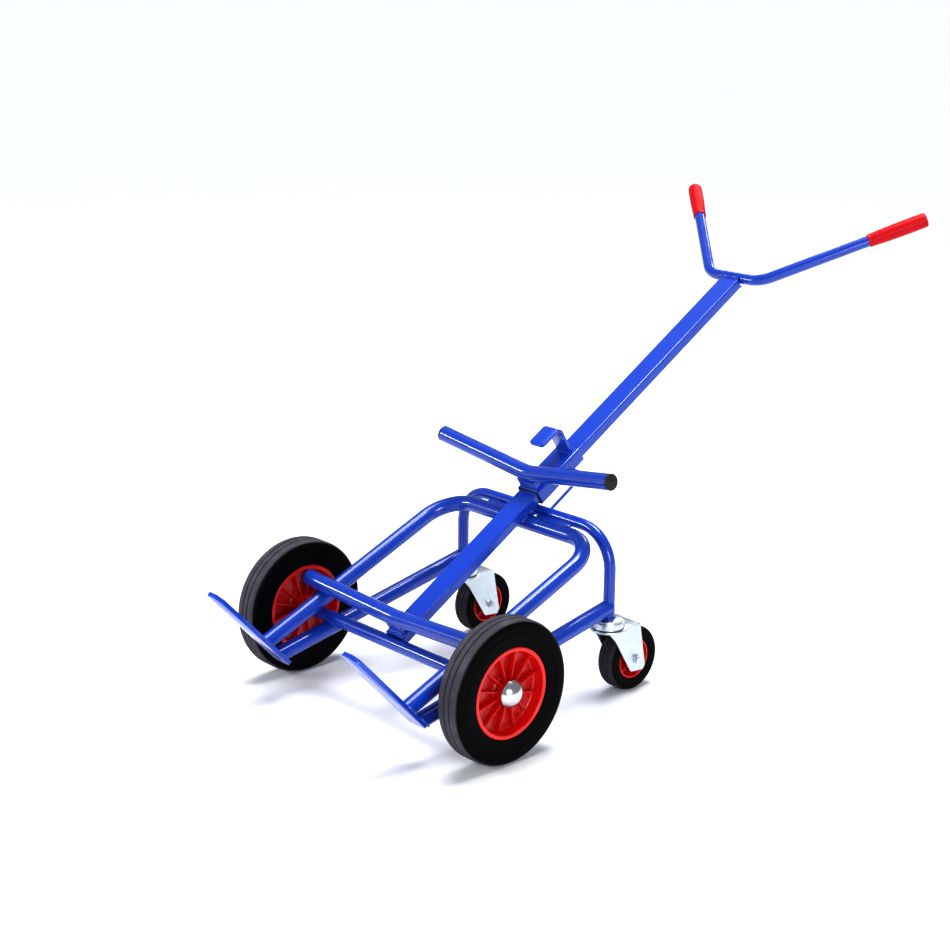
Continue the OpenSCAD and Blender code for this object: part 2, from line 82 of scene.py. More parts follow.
def size(name, about, value, low, high):
    """A length that a user may change."""
    return FloatProperty(name=name, description=about, default=value, min=low, max=high,
                         subtype="DISTANCE", unit="LENGTH", precision=4)


def angle(name, about, degrees, low, high):
    """An angle that a user may change."""
    return FloatProperty(name=name, description=about, default=math.radians(degrees),
                         min=math.radians(low), max=math.radians(high),
                         subtype="ANGLE", unit="ROTATION")


def colour(name, about, value):
    """A colour that a user may change."""
    return FloatVectorProperty(name=name, description=about, default=value, min=0, max=1,
                               size=3, subtype="COLOR")


class DollySizes(bpy.types.PropertyGroup):
    """Sizes of the pieces, as in the CAD model."""
    bed_d: size("Bed tube", "Diameter of the bed tube", 0.030, 0.02, 0.04)
    bed_x: size("Bed side", "From the middle to a side of the bed tube", 0.203, 0.15, 0.25)
    bed_lean: angle("Bed lean", "Lean of the bed above the floor", 22.9, 15, 30)
    bed_rise: size("Bed height", "Height of the bed above the wheel axis", 0.0388, 0.02, 0.06)
    bed_cross: size("Bed crossbar", "Along the bed from the axle to its crossbar", 0.342, 0.3, 0.4)
    bed_bend: size("Bed bend", "Radius of the bed tube's bends", 0.072, 0.04, 0.1)
    arch_d: size("Arch tube", "Diameter of the rear arch tube", 0.022, 0.015, 0.03)
    arch_z: size("Arch height", "Height of the arch crossbar", 0.317, 0.28, 0.35)
    arch_bend: size("Arch bend", "Radius of the arch's bends", 0.072, 0.05, 0.12)
    leg_foot: size("Leg foot", "Height of an arch leg's foot", 0.152, 0.14, 0.17)
    low_d: size("Lower tube", "Diameter of a lower side tube", 0.030, 0.02, 0.035)
    low_lean: angle("Lower lean", "Lean of the lower side tubes", 11.6, 8, 15)
    axle_tube_d: size("Cross tube", "Diameter of the tube round the axle", 0.025, 0.02, 0.03)
    toe_rise: angle("Toe rise", "Rise of the toe plates above the floor", 47, 35, 60)
    cradle_d: size("Cradle tube", "Diameter of the cradle tubes", 0.031, 0.025, 0.035)
    cradle_bend: size("Cradle bend", "Radius of a cradle tube's bend", 0.09, 0.04, 0.2)
    handle_d: size("Handle tube", "Diameter of the handle tube", 0.022, 0.018, 0.028)
    handle_x: size("Handle middle", "Half the width between the bends", 0.066, 0.05, 0.1)
    handle_arm: size("Handle arm", "Length of an arm from its bend", 0.347, 0.3, 0.4)
    handle_bend: size("Handle bend", "Radius of the handle's bends", 0.060, 0.03, 0.1)
    handle_splay: angle("Handle splay", "Splay of the handle's arms", 46.9, 30, 60)
    mast_top: size("Mast top", "Along the mast from its origin to its top", 1.100, 1.0, 1.2)
    rib_count: IntProperty(name="Rim ribs", description="Ribs on each face of a large rim",
                           default=12, min=6, max=18)


class DollyColours(bpy.types.PropertyGroup):
    """Base colours of the finishes."""
    paint: colour("Paint", "Gloss paint of the frame", (0.007, 0.056, 0.41))
    rim: colour("Rims", "Moulded plastic of the rims", (0.70, 0.005, 0.005))
    grip: colour("Grips", "Soft plastic of the grips", (0.50, 0.002, 0.009))
    tyre: colour("Tyres", "Rubber of the tyres", (0.0018, 0.0018, 0.0027))
    zinc: colour("Zinc", "Bright zinc plating", (0.62, 0.68, 0.72))
    floor: colour("Floor", "Studio floor", (0.86, 0.87, 0.89))


# ---- places ----

def turned(x_axis, y_axis, z_axis, origin):
    """A frame from its three axes and its origin."""
    rot = Matrix((x_axis, y_axis, z_axis)).transposed().to_4x4()
    return Matrix.Translation(origin) @ rot


def leaning(origin, lean):
    """X across, Y up a slope that leans back at that angle, Z square to the slope."""
    return Matrix.Translation(origin) @ Matrix.Rotation(lean, 4, "X")


def mast_frame():
    """X across, Y up along the mast, Z out of its front face."""
    return leaning(AXLE_AT + Vector((0, -0.039, 0.1277 - WHEEL_R)), MAST_LEAN)


def bed_frame(sizes):
    """X across, Y along the bed tube's sides."""
    return leaning(AXLE_AT + Vector((0, 0, sizes.bed_rise)), sizes.bed_lean)


def low_frame(sizes):
    """X across, Y along the lower side tubes."""
    drop = (sizes.axle_tube_d + sizes.low_d) / 2 / math.cos(sizes.low_lean)
    return leaning(AXLE_AT - Vector((0, 0, drop)), sizes.low_lean)


def toe_frame(sizes, side):
    """Y from heel to tip of a toe plate, Z away from the drum, at the plate's outer face."""
    heel = AXLE_AT + Vector((SIDES[side] * 0.193, -0.110, 0.0648 - WHEEL_R))
    return leaning(heel, math.pi - sizes.toe_rise)


def toe_face(sizes, side):
    """A point on a toe plate's drum face, and the face's normal."""
    here = toe_frame(sizes, side)
    return here @ Vector((0, 0, -0.0077)), -(here.to_3x3() @ Vector((0, 0, 1)))


def wheel_frame(side, centre):
    """Z outwards along a wheel's axis."""
    return Matrix.Translation(centre) @ Matrix.Rotation(SIDES[side] * QUARTER, 4, "Y")


# ---- mesh helpers ----

def finished(bm, name, body, finish, replaces=(), crease=35.0):
    """Turns a bmesh into a piece that rides on a body and stands for CAD nodes."""
    bmesh.ops.recalc_face_normals(bm, faces=bm.faces)
    mesh = bpy.data.meshes.new(name)
    bm.to_mesh(mesh)
    bm.free()
    mesh.shade_smooth()
    mesh.set_sharp_from_angle(angle=math.radians(crease))
    mesh.materials.append(finish)
    piece = bpy.data.objects.new(name, mesh)
    bpy.context.scene.collection.objects.link(piece)
    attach(piece, body)
    if replaces:
        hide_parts(*replaces)


def arc(centre, radius, start, end, steps):
    """Points on a circle's arc, in a plane, angles in degrees."""
    span = [start + (end - start) * k / steps for k in range(steps + 1)]
    return [(centre[0] + radius * math.cos(math.radians(a)),
             centre[1] + radius * math.sin(math.radians(a))) for a in span]


def spun(bm, outline, steps, place):
    """A closed outline of (radius, height) points, turned fully about Z."""
    before = set(bm.verts)
    corners = [bm.verts.new((r, 0, z)) for r, z in outline]
    edges = [bm.edges.new((a, b)) for a, b in zip(corners, corners[1:] + corners[:1])]
    bmesh.ops.spin(bm, geom=corners + edges, cent=(0, 0, 0), axis=(0, 0, 1), angle=FULL,
                   steps=steps, use_merge=True)
    bmesh.ops.transform(bm, matrix=place, verts=[v for v in bm.verts if v not in before])


def frames_of_run(steps, start):
    """Frames along a bar that runs along X and turns towards Y: steps are (straight, turn, bend)."""
    here = start
    frames = [here]
    for straight, turn, bend in steps:
        here = here @ Matrix.Translation((straight, 0, 0))
        frames.append(here)
        parts = max(1, round(math.degrees(abs(turn)) / 4))
        for _ in range(parts if turn else 0):
            here = (here @ Matrix.Translation((0, bend, 0)) @ Matrix.Rotation(turn / parts, 4, "Z")
                    @ Matrix.Translation((0, -bend, 0)))
            frames.append(here)
    return frames


def frames_through(points, closed):
    """Frames along a free path of points, X along the path."""
    count = len(points)
    frames = []
    for k, point in enumerate(points):
        ahead = points[(k + 1) % count] if closed or k + 1 < count else point
        behind = points[k - 1] if closed or k else point
        along = (ahead - behind).normalized()
        side = along.cross(Vector((0.13, 0.21, 0.97))).normalized()
        frames.append(turned(along, side, along.cross(side), point))
    return frames


def swept(bm, frames, radius, sides=40, scales=None, closed=False, wall=0.0, deep=0.05):
    """A round bar along a list of frames. With a wall, its ends are open pipe ends."""
    scales = scales or [1.0] * len(frames)
    ring = bmesh.ops.create_circle(bm, cap_ends=False, radius=radius * scales[0], segments=sides,
                                   matrix=frames[0] @ Matrix.Rotation(QUARTER, 4, "Y"))["verts"]
    edges = list({e for v in ring for e in v.link_edges})
    first = edges
    for k in range(1, len(frames)):
        grown = bmesh.ops.extrude_edge_only(bm, edges=edges)["geom"]
        verts = [g for g in grown if isinstance(g, bmesh.types.BMVert)]
        edges = [g for g in grown if isinstance(g, bmesh.types.BMEdge)
                 and all(v in verts for v in g.verts)]
        move = (frames[k] @ Matrix.Scale(scales[k] / scales[k - 1], 4)
                @ frames[k - 1].inverted())
        bmesh.ops.transform(bm, matrix=move, verts=verts)
    if closed:
        bmesh.ops.bridge_loops(bm, edges=first + edges)
        return
    for rim, here, way in ((first, frames[0], 1), (edges, frames[-1], -1)):
        cap = bmesh.ops.contextual_create(bm, geom=rim)["faces"]
        if not wall:
            continue
        bmesh.ops.inset_region(bm, faces=cap, thickness=wall, use_even_offset=True)
        bore = bmesh.ops.extrude_face_region(bm, geom=cap)["geom"]
        bmesh.ops.delete(bm, geom=cap, context="FACES_ONLY")
        inward = here.to_3x3() @ Vector((way * deep, 0, 0))
        bmesh.ops.translate(bm, vec=inward,
                            verts=[g for g in bore if isinstance(g, bmesh.types.BMVert)])


def cut_off(bm, point, normal):
    """Cuts away what lies beyond a plane and closes the cut."""
    geom = bm.verts[:] + bm.edges[:] + bm.faces[:]
    made = bmesh.ops.bisect_plane(bm, geom=geom, dist=1e-6, plane_co=point, plane_no=normal,
                                  clear_outer=True)["geom_cut"]
    bmesh.ops.edgeloop_fill(bm, edges=[g for g in made if isinstance(g, bmesh.types.BMEdge)])


def softened(node, width):
    """A copy of a CAD node with its sharp edges rounded; the rounded edges carry the mark "edge"."""
    bm = bmesh.new()
    bm.from_mesh(frame["nodes"][node].data)
    bmesh.ops.remove_doubles(bm, verts=bm.verts, dist=2e-6)
    bmesh.ops.dissolve_limit(bm, angle_limit=math.radians(0.6), verts=bm.verts, edges=bm.edges)
    mark = bm.verts.layers.float.new("edge")
    sharp = [e for e in bm.edges
             if len(e.link_faces) == 2 and e.calc_face_angle() > math.radians(40)]
    made = bmesh.ops.bevel(bm, geom=sharp, offset=width, offset_type="OFFSET", segments=2,
                           profile=0.5, affect="EDGES", clamp_overlap=True, material=-1)
    for face in made["faces"]:
        for vert in face.verts:
            vert[mark] = 1.0
    return bm


# ---- finishes ----

class Sock:
    """A socket in a shader, so that sums and products can be written out."""

    def __init__(self, shader, socket):
        self.shader, self.socket = shader, socket

    def __add__(self, other):
        return self.shader.sum("ADD", self, other)

    def __rsub__(self, other):
        return self.shader.sum("SUBTRACT", other, self)

    def __mul__(self, other):
        return self.shader.sum("MULTIPLY", self, other)

    __radd__, __rmul__ = __add__, __mul__


class Shader:
    """One material and its nodes."""

    def __init__(self, name):
        self.material = bpy.data.materials.new(name)
        self.material.use_nodes = True
        self.tree = self.material.node_tree
        self.tree.nodes.clear()

    def node(self, kind, settings, inputs, out=0):
        """Adds a node: its settings first, then its inputs' values or links."""
        node = self.tree.nodes.new(kind)
        for key, value in settings.items():
            setattr(node, key, value)
        for key, value in inputs.items():
            if isinstance(value, Sock):
                self.tree.links.new(value.socket, node.inputs[key])
            else:
                node.inputs[key].default_value = value
        return Sock(self, node.outputs[out] if node.outputs else None)

    def sum(self, operation, a, b):
        """A Math node on two values."""
        return self.node("ShaderNodeMath", {"operation": operation}, {0: a, 1: b})

    def place(self):
        """Object coordinates."""
        return self.node("ShaderNodeTexCoord", {}, {}, "Object")

    def noise(self, where, scale, detail=3.0, rough=0.5):
        """Fractal noise from 0 to 1."""
        return self.node("ShaderNodeTexNoise", {}, {"Vector": where, "Scale": scale,
                         "Detail": detail, "Roughness": rough}, "Fac")

    def stretched(self, where, factors):
        """Coordinates stretched along the axes, for streaks."""
        return self.node("ShaderNodeVectorMath", {"operation": "MULTIPLY"}, {0: where, 1: factors})

    def between(self, value, low, high):
        """0 below low, 1 above high, smooth between."""
        return self.node("ShaderNodeMapRange", {"interpolation_type": "SMOOTHSTEP"},
                         {"Value": value, "From Min": low, "From Max": high})

    def mix(self, amount, a, b):
        """A colour between a and b."""
        a = a if isinstance(a, Sock) else (*a, 1)
        b = b if isinstance(b, Sock) else (*b, 1)
        return self.node("ShaderNodeMix", {"data_type": "RGBA"}, {0: amount, 6: a, 7: b}, 2)

    def bump(self, height, strength, distance):
        """A bumped normal from a height."""
        return self.node("ShaderNodeBump", {}, {"Strength": strength, "Distance": distance,
                         "Height": height})

    def edge(self):
        """The mark that rounded edges carry."""
        return self.node("ShaderNodeAttribute", {"attribute_name": "edge"}, {}, "Fac")

    def surface(self, **inputs):
        """The Principled shader and the output. Returns the material."""
        named = {key.replace("_", " "): value for key, value in inputs.items()}
        shader = self.node("ShaderNodeBsdfPrincipled", {}, named)
        self.node("ShaderNodeOutputMaterial", {}, {"Surface": shader})
        return self.material


def scaled(shade, factor):
    """A colour made lighter or darker."""
    return tuple(min(1.0, c * factor) for c in shade)


def gloss_paint(colours):
    """Gloss powder coat: faint orange peel, uneven gloss, and the rounded sharp edges painted lighter
    as a painted highlight.
    """
    s = Shader("gloss_paint")
    at = s.place()
    broad = s.noise(at, 7.0, 2.0)
    peel = s.noise(at, 900.0, 2.0)
    dust = s.between(s.noise(at, 60.0, 6.0, 0.7), 0.55, 0.8)
    scuff = s.between(s.noise(s.stretched(at, (900.0, 60.0, 60.0)), 1.0, 4.0, 0.7), 0.66, 0.78)
    base = s.mix(broad, scaled(colours.paint, 0.86), scaled(colours.paint, 1.1))
    # the rounded edges are mixed towards a lighter paint: a painted highlight along the edges
    base = s.mix(s.edge() * 0.35, base, scaled(colours.paint, 1.45))
    base = s.mix(dust * 0.05, base, (0.35, 0.42, 0.6))
    return s.surface(Base_Color=base, Roughness=dust * 0.10 + scuff * 0.12 + 0.24,
                     Normal=s.bump(peel, 0.05, 0.0004),
                     Coat_Weight=0.6, Coat_Roughness=0.05, IOR=1.45)


def weld_paint(colours):
    """The same coat over a weld bead, a little duller, and darker where its ripples dip and lighter
    on their crests: painted shade and painted highlight in the ripples.
    """
    s = Shader("weld_paint")
    at = s.place()
    grain = s.noise(at, 420.0, 4.0, 0.6)
    # the colour follows the bump: painted shade where the ripples dip, painted highlight on their
    # crests
    base = s.mix(grain, scaled(colours.paint, 0.75), scaled(colours.paint, 1.2))
    return s.surface(Base_Color=base, Roughness=grain * 0.2 + 0.22,
                     Normal=s.bump(grain, 0.3, 0.0008), Coat_Weight=0.7, Coat_Roughness=0.1)


def reach_from(s, at, centre):
    """Distance from a wheel's axis."""
    from_hub = s.node("ShaderNodeVectorMath", {"operation": "SUBTRACT"}, {0: at, 1: tuple(centre)})
    flat = s.stretched(from_hub, (0.0, 1.0, 1.0))
    return s.node("ShaderNodeVectorMath", {"operation": "LENGTH"}, {0: flat}, "Value")


def rim_plastic(name, colours, centre, dish):
    """Glossy moulded plastic, painted darker in the dish as painted shade, with painted highlights on
    the lips and rib edges.
    """
    s = Shader(name)
    at = s.place()
    flow = s.noise(at, 38.0, 3.0, 0.6)
    fine = s.noise(at, 700.0, 3.0)
    lip_highlight = s.between(reach_from(s, at, centre), dish, dish + 0.004)
    # the dish is painted darker than the lips: painted shade in the recess
    base = s.mix(flow, scaled(colours.rim, 0.5), scaled(colours.rim, 0.72))
    # the lips and the ribs' rounded edges take the full colour: painted highlights
    base = s.mix(lip_highlight * 0.85 + s.edge() * (1.0 - lip_highlight) * 0.8, base, colours.rim)
    return s.surface(Base_Color=base, Roughness=flow * 0.1 + 0.22,
                     Normal=s.bump(fine, 0.05, 0.0003), Coat_Weight=0.3, Coat_Roughness=0.1)


def grip_vinyl(colours):
    """Soft dipped plastic: slightly cloudy, with a fine skin."""
    s = Shader("grip_vinyl")
    at = s.place()
    cloud = s.noise(at, 45.0, 3.0, 0.6)
    cells = s.node("ShaderNodeTexVoronoi", {}, {"Vector": at, "Scale": 420.0}, "Distance")
    skin = s.noise(at, 1500.0, 3.0, 0.6) * 0.4 + cells
    worn = s.between(s.noise(at, 26.0, 5.0, 0.65), 0.5, 0.75)
    base = s.mix(cloud, scaled(colours.grip, 0.85), scaled(colours.grip, 1.15))
    base = s.mix(worn * 0.05, base, (0.80, 0.08, 0.12))
    return s.surface(Base_Color=base, Roughness=cloud * 0.1 + worn * 0.12 + 0.34,
                     Normal=s.bump(skin, 0.12, 0.0003), Subsurface_Weight=0.12,
                     Subsurface_Radius=(0.005, 0.001, 0.001), Specular_IOR_Level=0.2)


def tyre_rubber(name, colours, centre, radius, tread_dust_and_sheen):
    """Solid rubber, with a grey tread that is partly dust and partly a painted sheen, and faint mould
    rings on the sidewall.
    """
    s = Shader(name)
    at = s.place()
    reach = reach_from(s, at, centre)
    tread = s.between(reach, radius - 0.0045, radius - 0.001)
    grain = s.noise(at, 1300.0, 4.0, 0.65)
    dust = s.between(s.noise(at, 32.0, 6.0, 0.68), 0.42, 0.78)
    rings = s.node("ShaderNodeMath", {"operation": "SINE"}, {0: reach * 2600.0})
    base = s.mix(dust * 0.2, colours.tyre, (0.006, 0.006, 0.008))
    # the tread is painted grey: partly dust, partly a painted sheen
    base = s.mix(tread * (dust * 0.3 + 0.55) * tread_dust_and_sheen, base, (0.14, 0.136, 0.165))
    return s.surface(Base_Color=base, Roughness=tread * 0.2 + dust * 0.12 + 0.42,
                     Normal=s.bump(grain + rings * 0.12, 0.16, 0.0005),
                     Specular_IOR_Level=0.05)


def zinc_plating(colours):
    """Bright zinc: bluish, faintly spangled, with soft wipe marks."""
    s = Shader("zinc_plating")
    at = s.place()
    cells = s.node("ShaderNodeTexVoronoi", {}, {"Vector": at, "Scale": 260.0}, "Distance")
    cloud = s.noise(at, 55.0, 5.0, 0.62)
    wipe = s.noise(s.stretched(at, (60.0, 60.0, 700.0)), 1.0, 3.0)
    base = s.mix(cloud, scaled(colours.zinc, 0.82), scaled(colours.zinc, 1.08))
    base = s.mix(s.between(cloud, 0.6, 0.85) * 0.25, base, (0.82, 0.82, 0.66))
    return s.surface(Base_Color=base, Metallic=1.0,
                     Roughness=cloud * 0.18 + cells * 0.06 + wipe * 0.08 + 0.16,
                     Normal=s.bump(wipe + cells, 0.05, 0.0004))


def polished_chrome():
    """Mirror plating with the faintest haze."""
    s = Shader("polished_chrome")
    haze = s.noise(s.place(), 120.0, 4.0, 0.6)
    base = s.mix(haze, (0.56, 0.57, 0.60), (0.68, 0.69, 0.72))
    return s.surface(Base_Color=base, Metallic=1.0, Roughness=haze * 0.10 + 0.15,
                     Normal=s.bump(haze, 0.02, 0.0005))


def drawn_steel(name, shade, lengthways):
    """Drawn steel bar with fine lines along it."""
    s = Shader(name)
    at = s.place()
    lines = s.noise(s.stretched(at, lengthways), 1.0, 3.0, 0.6)
    cloud = s.noise(at, 40.0, 4.0)
    base = s.mix(cloud, scaled(shade, 0.8), scaled(shade, 1.15))
    return s.surface(Base_Color=base, Metallic=1.0, Roughness=lines * 0.2 + 0.22,
                     Normal=s.bump(lines, 0.08, 0.0003))


def cap_plastic():
    """Black moulded plastic with a coarse, slightly speckled grain."""
    s = Shader("cap_plastic")
    at = s.place()
    grain = s.noise(at, 620.0, 4.0, 0.7)
    speck = s.between(s.noise(at, 900.0, 2.0), 0.6, 0.72)
    base = s.mix(speck * 0.5, (0.010, 0.010, 0.011), (0.06, 0.06, 0.065))
    return s.surface(Base_Color=base, Roughness=grain * 0.25 + 0.42,
                     Normal=s.bump(grain, 0.35, 0.0005))


def natural_nylon():
    """Milky bearing nylon."""
    s = Shader("natural_nylon")
    cloud = s.noise(s.place(), 70.0, 4.0, 0.6)
    base = s.mix(cloud, (0.70, 0.68, 0.60), (0.84, 0.83, 0.77))
    return s.surface(Base_Color=base, Roughness=cloud * 0.2 + 0.35,
                     Normal=s.bump(cloud, 0.1, 0.0004), Subsurface_Weight=0.15,
                     Subsurface_Radius=(0.002, 0.002, 0.0015))


def studio_floor(colours):
    """Pale seamless floor with the faintest mottling."""
    s = Shader("studio_floor")
    mottle = s.noise(s.place(), 2.5, 4.0, 0.6)
    base = s.mix(mottle, scaled(colours.floor, 0.985), colours.floor[:])
    return s.surface(Base_Color=base, Roughness=mottle * 0.1 + 0.7, Specular_IOR_Level=0.0)


FINISH = {}


def mix_finishes(colours):
    """All the finishes by name."""
    FINISH.update(
        paint=gloss_paint(colours), weld=weld_paint(colours),
        grip=grip_vinyl(colours), zinc=zinc_plating(colours), chrome=polished_chrome(),
        cap=cap_plastic(), nylon=natural_nylon(),
        steel=drawn_steel("axle_steel", (0.5, 0.51, 0.53), (30.0, 900.0, 900.0)),
        balls=drawn_steel("ball_steel", (0.62, 0.63, 0.65), (200.0, 200.0, 200.0)),
    )
    for side in SIDES:
        FINISH["tyre_" + side] = tyre_rubber("tyre_rubber_" + side, colours,
                                             WHEEL_AT[side], WHEEL_R, 1.0)
        FINISH["rim_" + side] = rim_plastic("rim_plastic_" + side, colours, WHEEL_AT[side], 0.069)
        FINISH["castor_rim_" + side] = rim_plastic("castor_rim_plastic_" + side, colours,
                                                   CASTOR_AT[side], 0.032)
        FINISH["castor_tyre_" + side] = tyre_rubber("castor_rubber_" + side, colours,
                                                    CASTOR_AT[side], CASTOR_R, 0.45)


CAD_FINISH = {
    "axle": "steel", "axle_tube": "paint", "axle_washers": "zinc", "sleeve_liners": "cap",
    "stop_rod": "paint",
}
for _side in SIDES:
    CAD_FINISH.update({
        "wheel_bush_" + _side: "nylon", "castor_bush_" + _side: "nylon",
        "castor_balls_" + _side: "balls",
    })


# ---- operators ----

class Piece(bpy.types.Operator):
    """Common part of the operators that build the truck."""
    bl_options = {"REGISTER", "UNDO"}

    def execute(self, context):
        self.build(context.scene.dolly_sizes, context.scene.dolly_colours)
        return {"FINISHED"}


class DOLLY_OT_finishes(Piece):
    """Mix the finishes and put them on the CAD nodes that stay"""
    bl_idname = "dolly.finishes"
    bl_label = "Finishes"

    def build(self, sizes, colours):
        mix_finishes(colours)
        for name, finish in CAD_FINISH.items():
            mesh = frame["nodes"][name].data
            mesh.materials.clear()
            mesh.materials.append(FINISH[finish])
            mesh.shade_smooth()
            mesh.set_sharp_from_angle(angle=math.radians(35))


class DOLLY_OT_bed(Piece):
    """Build the bed tube, bent in one piece"""
    bl_idname = "dolly.bed"
    bl_label = "Bed tube"

    def build(self, sizes, colours):
        start = 0.19
        side = start + sizes.bed_cross - sizes.bed_bend
        middle = 2 * (sizes.bed_x - sizes.bed_bend)
        # X up the slope and Y across, from the left toe plate
        place = bed_frame(sizes) @ Matrix.Translation((-sizes.bed_x, -start, 0)) \
            @ Matrix.Rotation(math.pi, 4, "X") @ Matrix.Rotation(-QUARTER, 4, "Z")
        bm = bmesh.new()
        swept(bm, frames_of_run([(side, QUARTER, sizes.bed_bend), (middle, QUARTER, sizes.bed_bend),
                                 (side, 0, 0)], place), sizes.bed_d / 2, sides=56)
        point, normal = toe_face(sizes, "left")
        cut_off(bm, point - normal * 0.003, -normal)
        finished(bm, "bent_bed_tube", "frame", FINISH["paint"], ["bed_tube"])


class DOLLY_OT_arch(Piece):
    """Build the rear arch, bent in one piece, with its castor legs"""
    bl_idname = "dolly.arch"
    bl_label = "Rear arch"

    def build(self, sizes, colours):
        leg = sizes.arch_z - sizes.arch_bend - sizes.leg_foot
        middle = 2 * (LEG_X - sizes.arch_bend)
        place = turned(Vector((0, 0, 1)), Vector((1, 0, 0)), Vector((0, 1, 0)),
                       Vector((-LEG_X, LEG_Y, sizes.leg_foot)))
        bm = bmesh.new()
        swept(bm, frames_of_run([(leg, QUARTER, sizes.arch_bend), (middle, QUARTER, sizes.arch_bend),
                                 (leg, 0, 0)], place), sizes.arch_d / 2, sides=48)
        finished(bm, "bent_rear_arch", "frame", FINISH["paint"], ["rear_arch"])


class DOLLY_OT_lower_tubes(Piece):
    """Build the two lower side tubes, from the toe plates to the arch legs"""
    bl_idname = "dolly.lower_tubes"
    bl_label = "Lower side tubes"

    def build(self, sizes, colours):
        reach = (LEG_Y - AXLE_AT.y) / math.cos(sizes.low_lean)
        for side in SIDES:
            start = low_frame(sizes) @ Matrix.Translation((SIDES[side] * LEG_X, -0.14, 0)) \
                @ Matrix.Rotation(QUARTER, 4, "Z")
            bm = bmesh.new()
            swept(bm, frames_of_run([(0.14 + reach, 0, 0)], start), sizes.low_d / 2, sides=48)
            point, normal = toe_face(sizes, side)
            cut_off(bm, point - normal * 0.003, -normal)
            finished(bm, "side_tube_" + side, "frame", FINISH["paint"], ["lower_tube_" + side])


class DOLLY_OT_plates(Piece):
    """Round the edges of the plates, blocks and box tubes"""
    bl_idname = "dolly.plates"
    bl_label = "Plates and box tubes"

    def build(self, sizes, colours):
        for node, body, width in (
                ("mast", "frame", 0.0005), ("mast_spacer_block", "frame", 0.001),
                ("cradle_foot_pad", "frame", 0.0008),
                ("crossbar_webs", "frame", 0.0006), ("toe_plate_left", "frame", 0.0012),
                ("toe_plate_right", "frame", 0.0012), ("carriage_sleeve", "carriage", 0.0006),
                ("cradle_saddle", "carriage", 0.0008), ("drum_hook", "carriage", 0.0012),
                ("stop_rod_lug", "carriage", 0.0008)):
            finished(softened(node, width), "soft_" + node, body, FINISH["paint"], [node])


def cradle_frames(sizes, place, half, rise):
    """Frames along a cradle tube: two arms and a tight bend whose lowest point is the origin."""
    slope = math.atan2(rise, half)
    tangent = sizes.cradle_bend * math.tan(slope)
    arm = math.hypot(half, rise) - tangent
    start = place @ Matrix.Rotation(-slope, 4, "Z") @ Matrix.Translation((-arm - tangent, 0, 0))
    return frames_of_run([(arm, 2 * slope, sizes.cradle_bend), (arm, 0, 0)], start)


class DOLLY_OT_cradles(Piece):
    """Build the two cradle tubes and the upper one's end caps"""
    bl_idname = "dolly.cradles"
    bl_label = "Cradle tubes"

    def build(self, sizes, colours):
        lower = mast_frame() @ Matrix.Translation((0, LOWER_CRADLE, LOWER_CRADLE_HEIGHT)) \
            @ Matrix.Rotation(QUARTER, 4, "X")
        bm = bmesh.new()
        swept(bm, cradle_frames(sizes, lower, 0.242, 0.242 * math.tan(math.radians(4.5))),
              sizes.cradle_d / 2, sides=56, wall=0.0025, deep=0.09)
        finished(bm, "lower_cradle", "frame", FINISH["paint"], ["lower_cradle_tube"])
        tilt = math.radians(90 - 13)
        upper = mast_frame() @ Matrix.Translation((0, UPPER_CRADLE, UPPER_CRADLE_HEIGHT)) \
            @ Matrix.Rotation(tilt, 4, "X")
        frames = cradle_frames(sizes, upper, 0.225, 0.225 * math.tan(math.radians(9.1)))
        bm = bmesh.new()
        swept(bm, frames, sizes.cradle_d / 2, sides=56)
        finished(bm, "upper_cradle", "carriage", FINISH["paint"], ["upper_cradle_tube"])
        bm = bmesh.new()
        r = sizes.cradle_d / 2
        outline = [(0.0, 0.0), (r - 0.0002, 0.0), (r, 0.0006)] \
            + arc((r - 0.0018, 0.0022), 0.0018, 0, 80, 6) + [(0.0, 0.0045)]
        for end, way in ((frames[0], -1), (frames[-1], 1)):
            spun(bm, outline, 56, end @ Matrix.Rotation(way * QUARTER, 4, "Y"))
        finished(bm, "end_caps", "carriage", FINISH["cap"], ["cradle_end_caps"])


class DOLLY_OT_handle(Piece):
    """Build the handle tube, bent in one piece, and its two grips"""
    bl_idname = "dolly.handle"
    bl_label = "Handle and grips"

    def build(self, sizes, colours):
        tangent = sizes.handle_bend * math.tan(sizes.handle_splay / 2)
        arm = sizes.handle_arm - tangent
        middle = mast_frame() @ Matrix.Translation((0, sizes.mast_top + sizes.handle_d / 2, -0.009))
        start = middle @ Matrix.Translation((-sizes.handle_x, 0, 0)) \
            @ Matrix.Rotation(-sizes.handle_splay, 4, "Z") \
            @ Matrix.Translation((-sizes.handle_arm, 0, 0))
        bend = (sizes.handle_splay, sizes.handle_bend)
        frames = frames_of_run([(arm, *bend), (2 * (sizes.handle_x - tangent), *bend), (arm, 0, 0)],
                               start)
        bm = bmesh.new()
        swept(bm, frames, sizes.handle_d / 2, sides=48)
        finished(bm, "bent_handle", "frame", FINISH["paint"], ["handlebar"])
        r = sizes.handle_d / 2
        # Z from the arm's end back towards the bend
        outline = [(0.0, -0.0030), (0.0095, -0.0028)] + arc((0.0104, 0.0012), 0.0037, -85, -8, 7)
        outline += [(0.0150 - 0.0019 * ((z - 0.034) / 0.078) ** 2, z)
                    for z in (0.004 + 0.003 * k for k in range(37))]
        outline += [(0.0131, 0.1145), (0.0135, 0.1158), (0.0133, 0.1174), (0.0124, 0.118), (r, 0.118),
                    (r, 0.0005), (0.0, 0.0005)]
        for side, end in (("left", frames[0]), ("right", frames[-1])):
            way = 1 if side == "left" else -1
            bm = bmesh.new()
            spun(bm, outline, 56, end @ Matrix.Rotation(way * QUARTER, 4, "Y"))
            finished(bm, "grip_sleeve_" + side, "frame", FINISH["grip"], ["grip_" + side], 50)


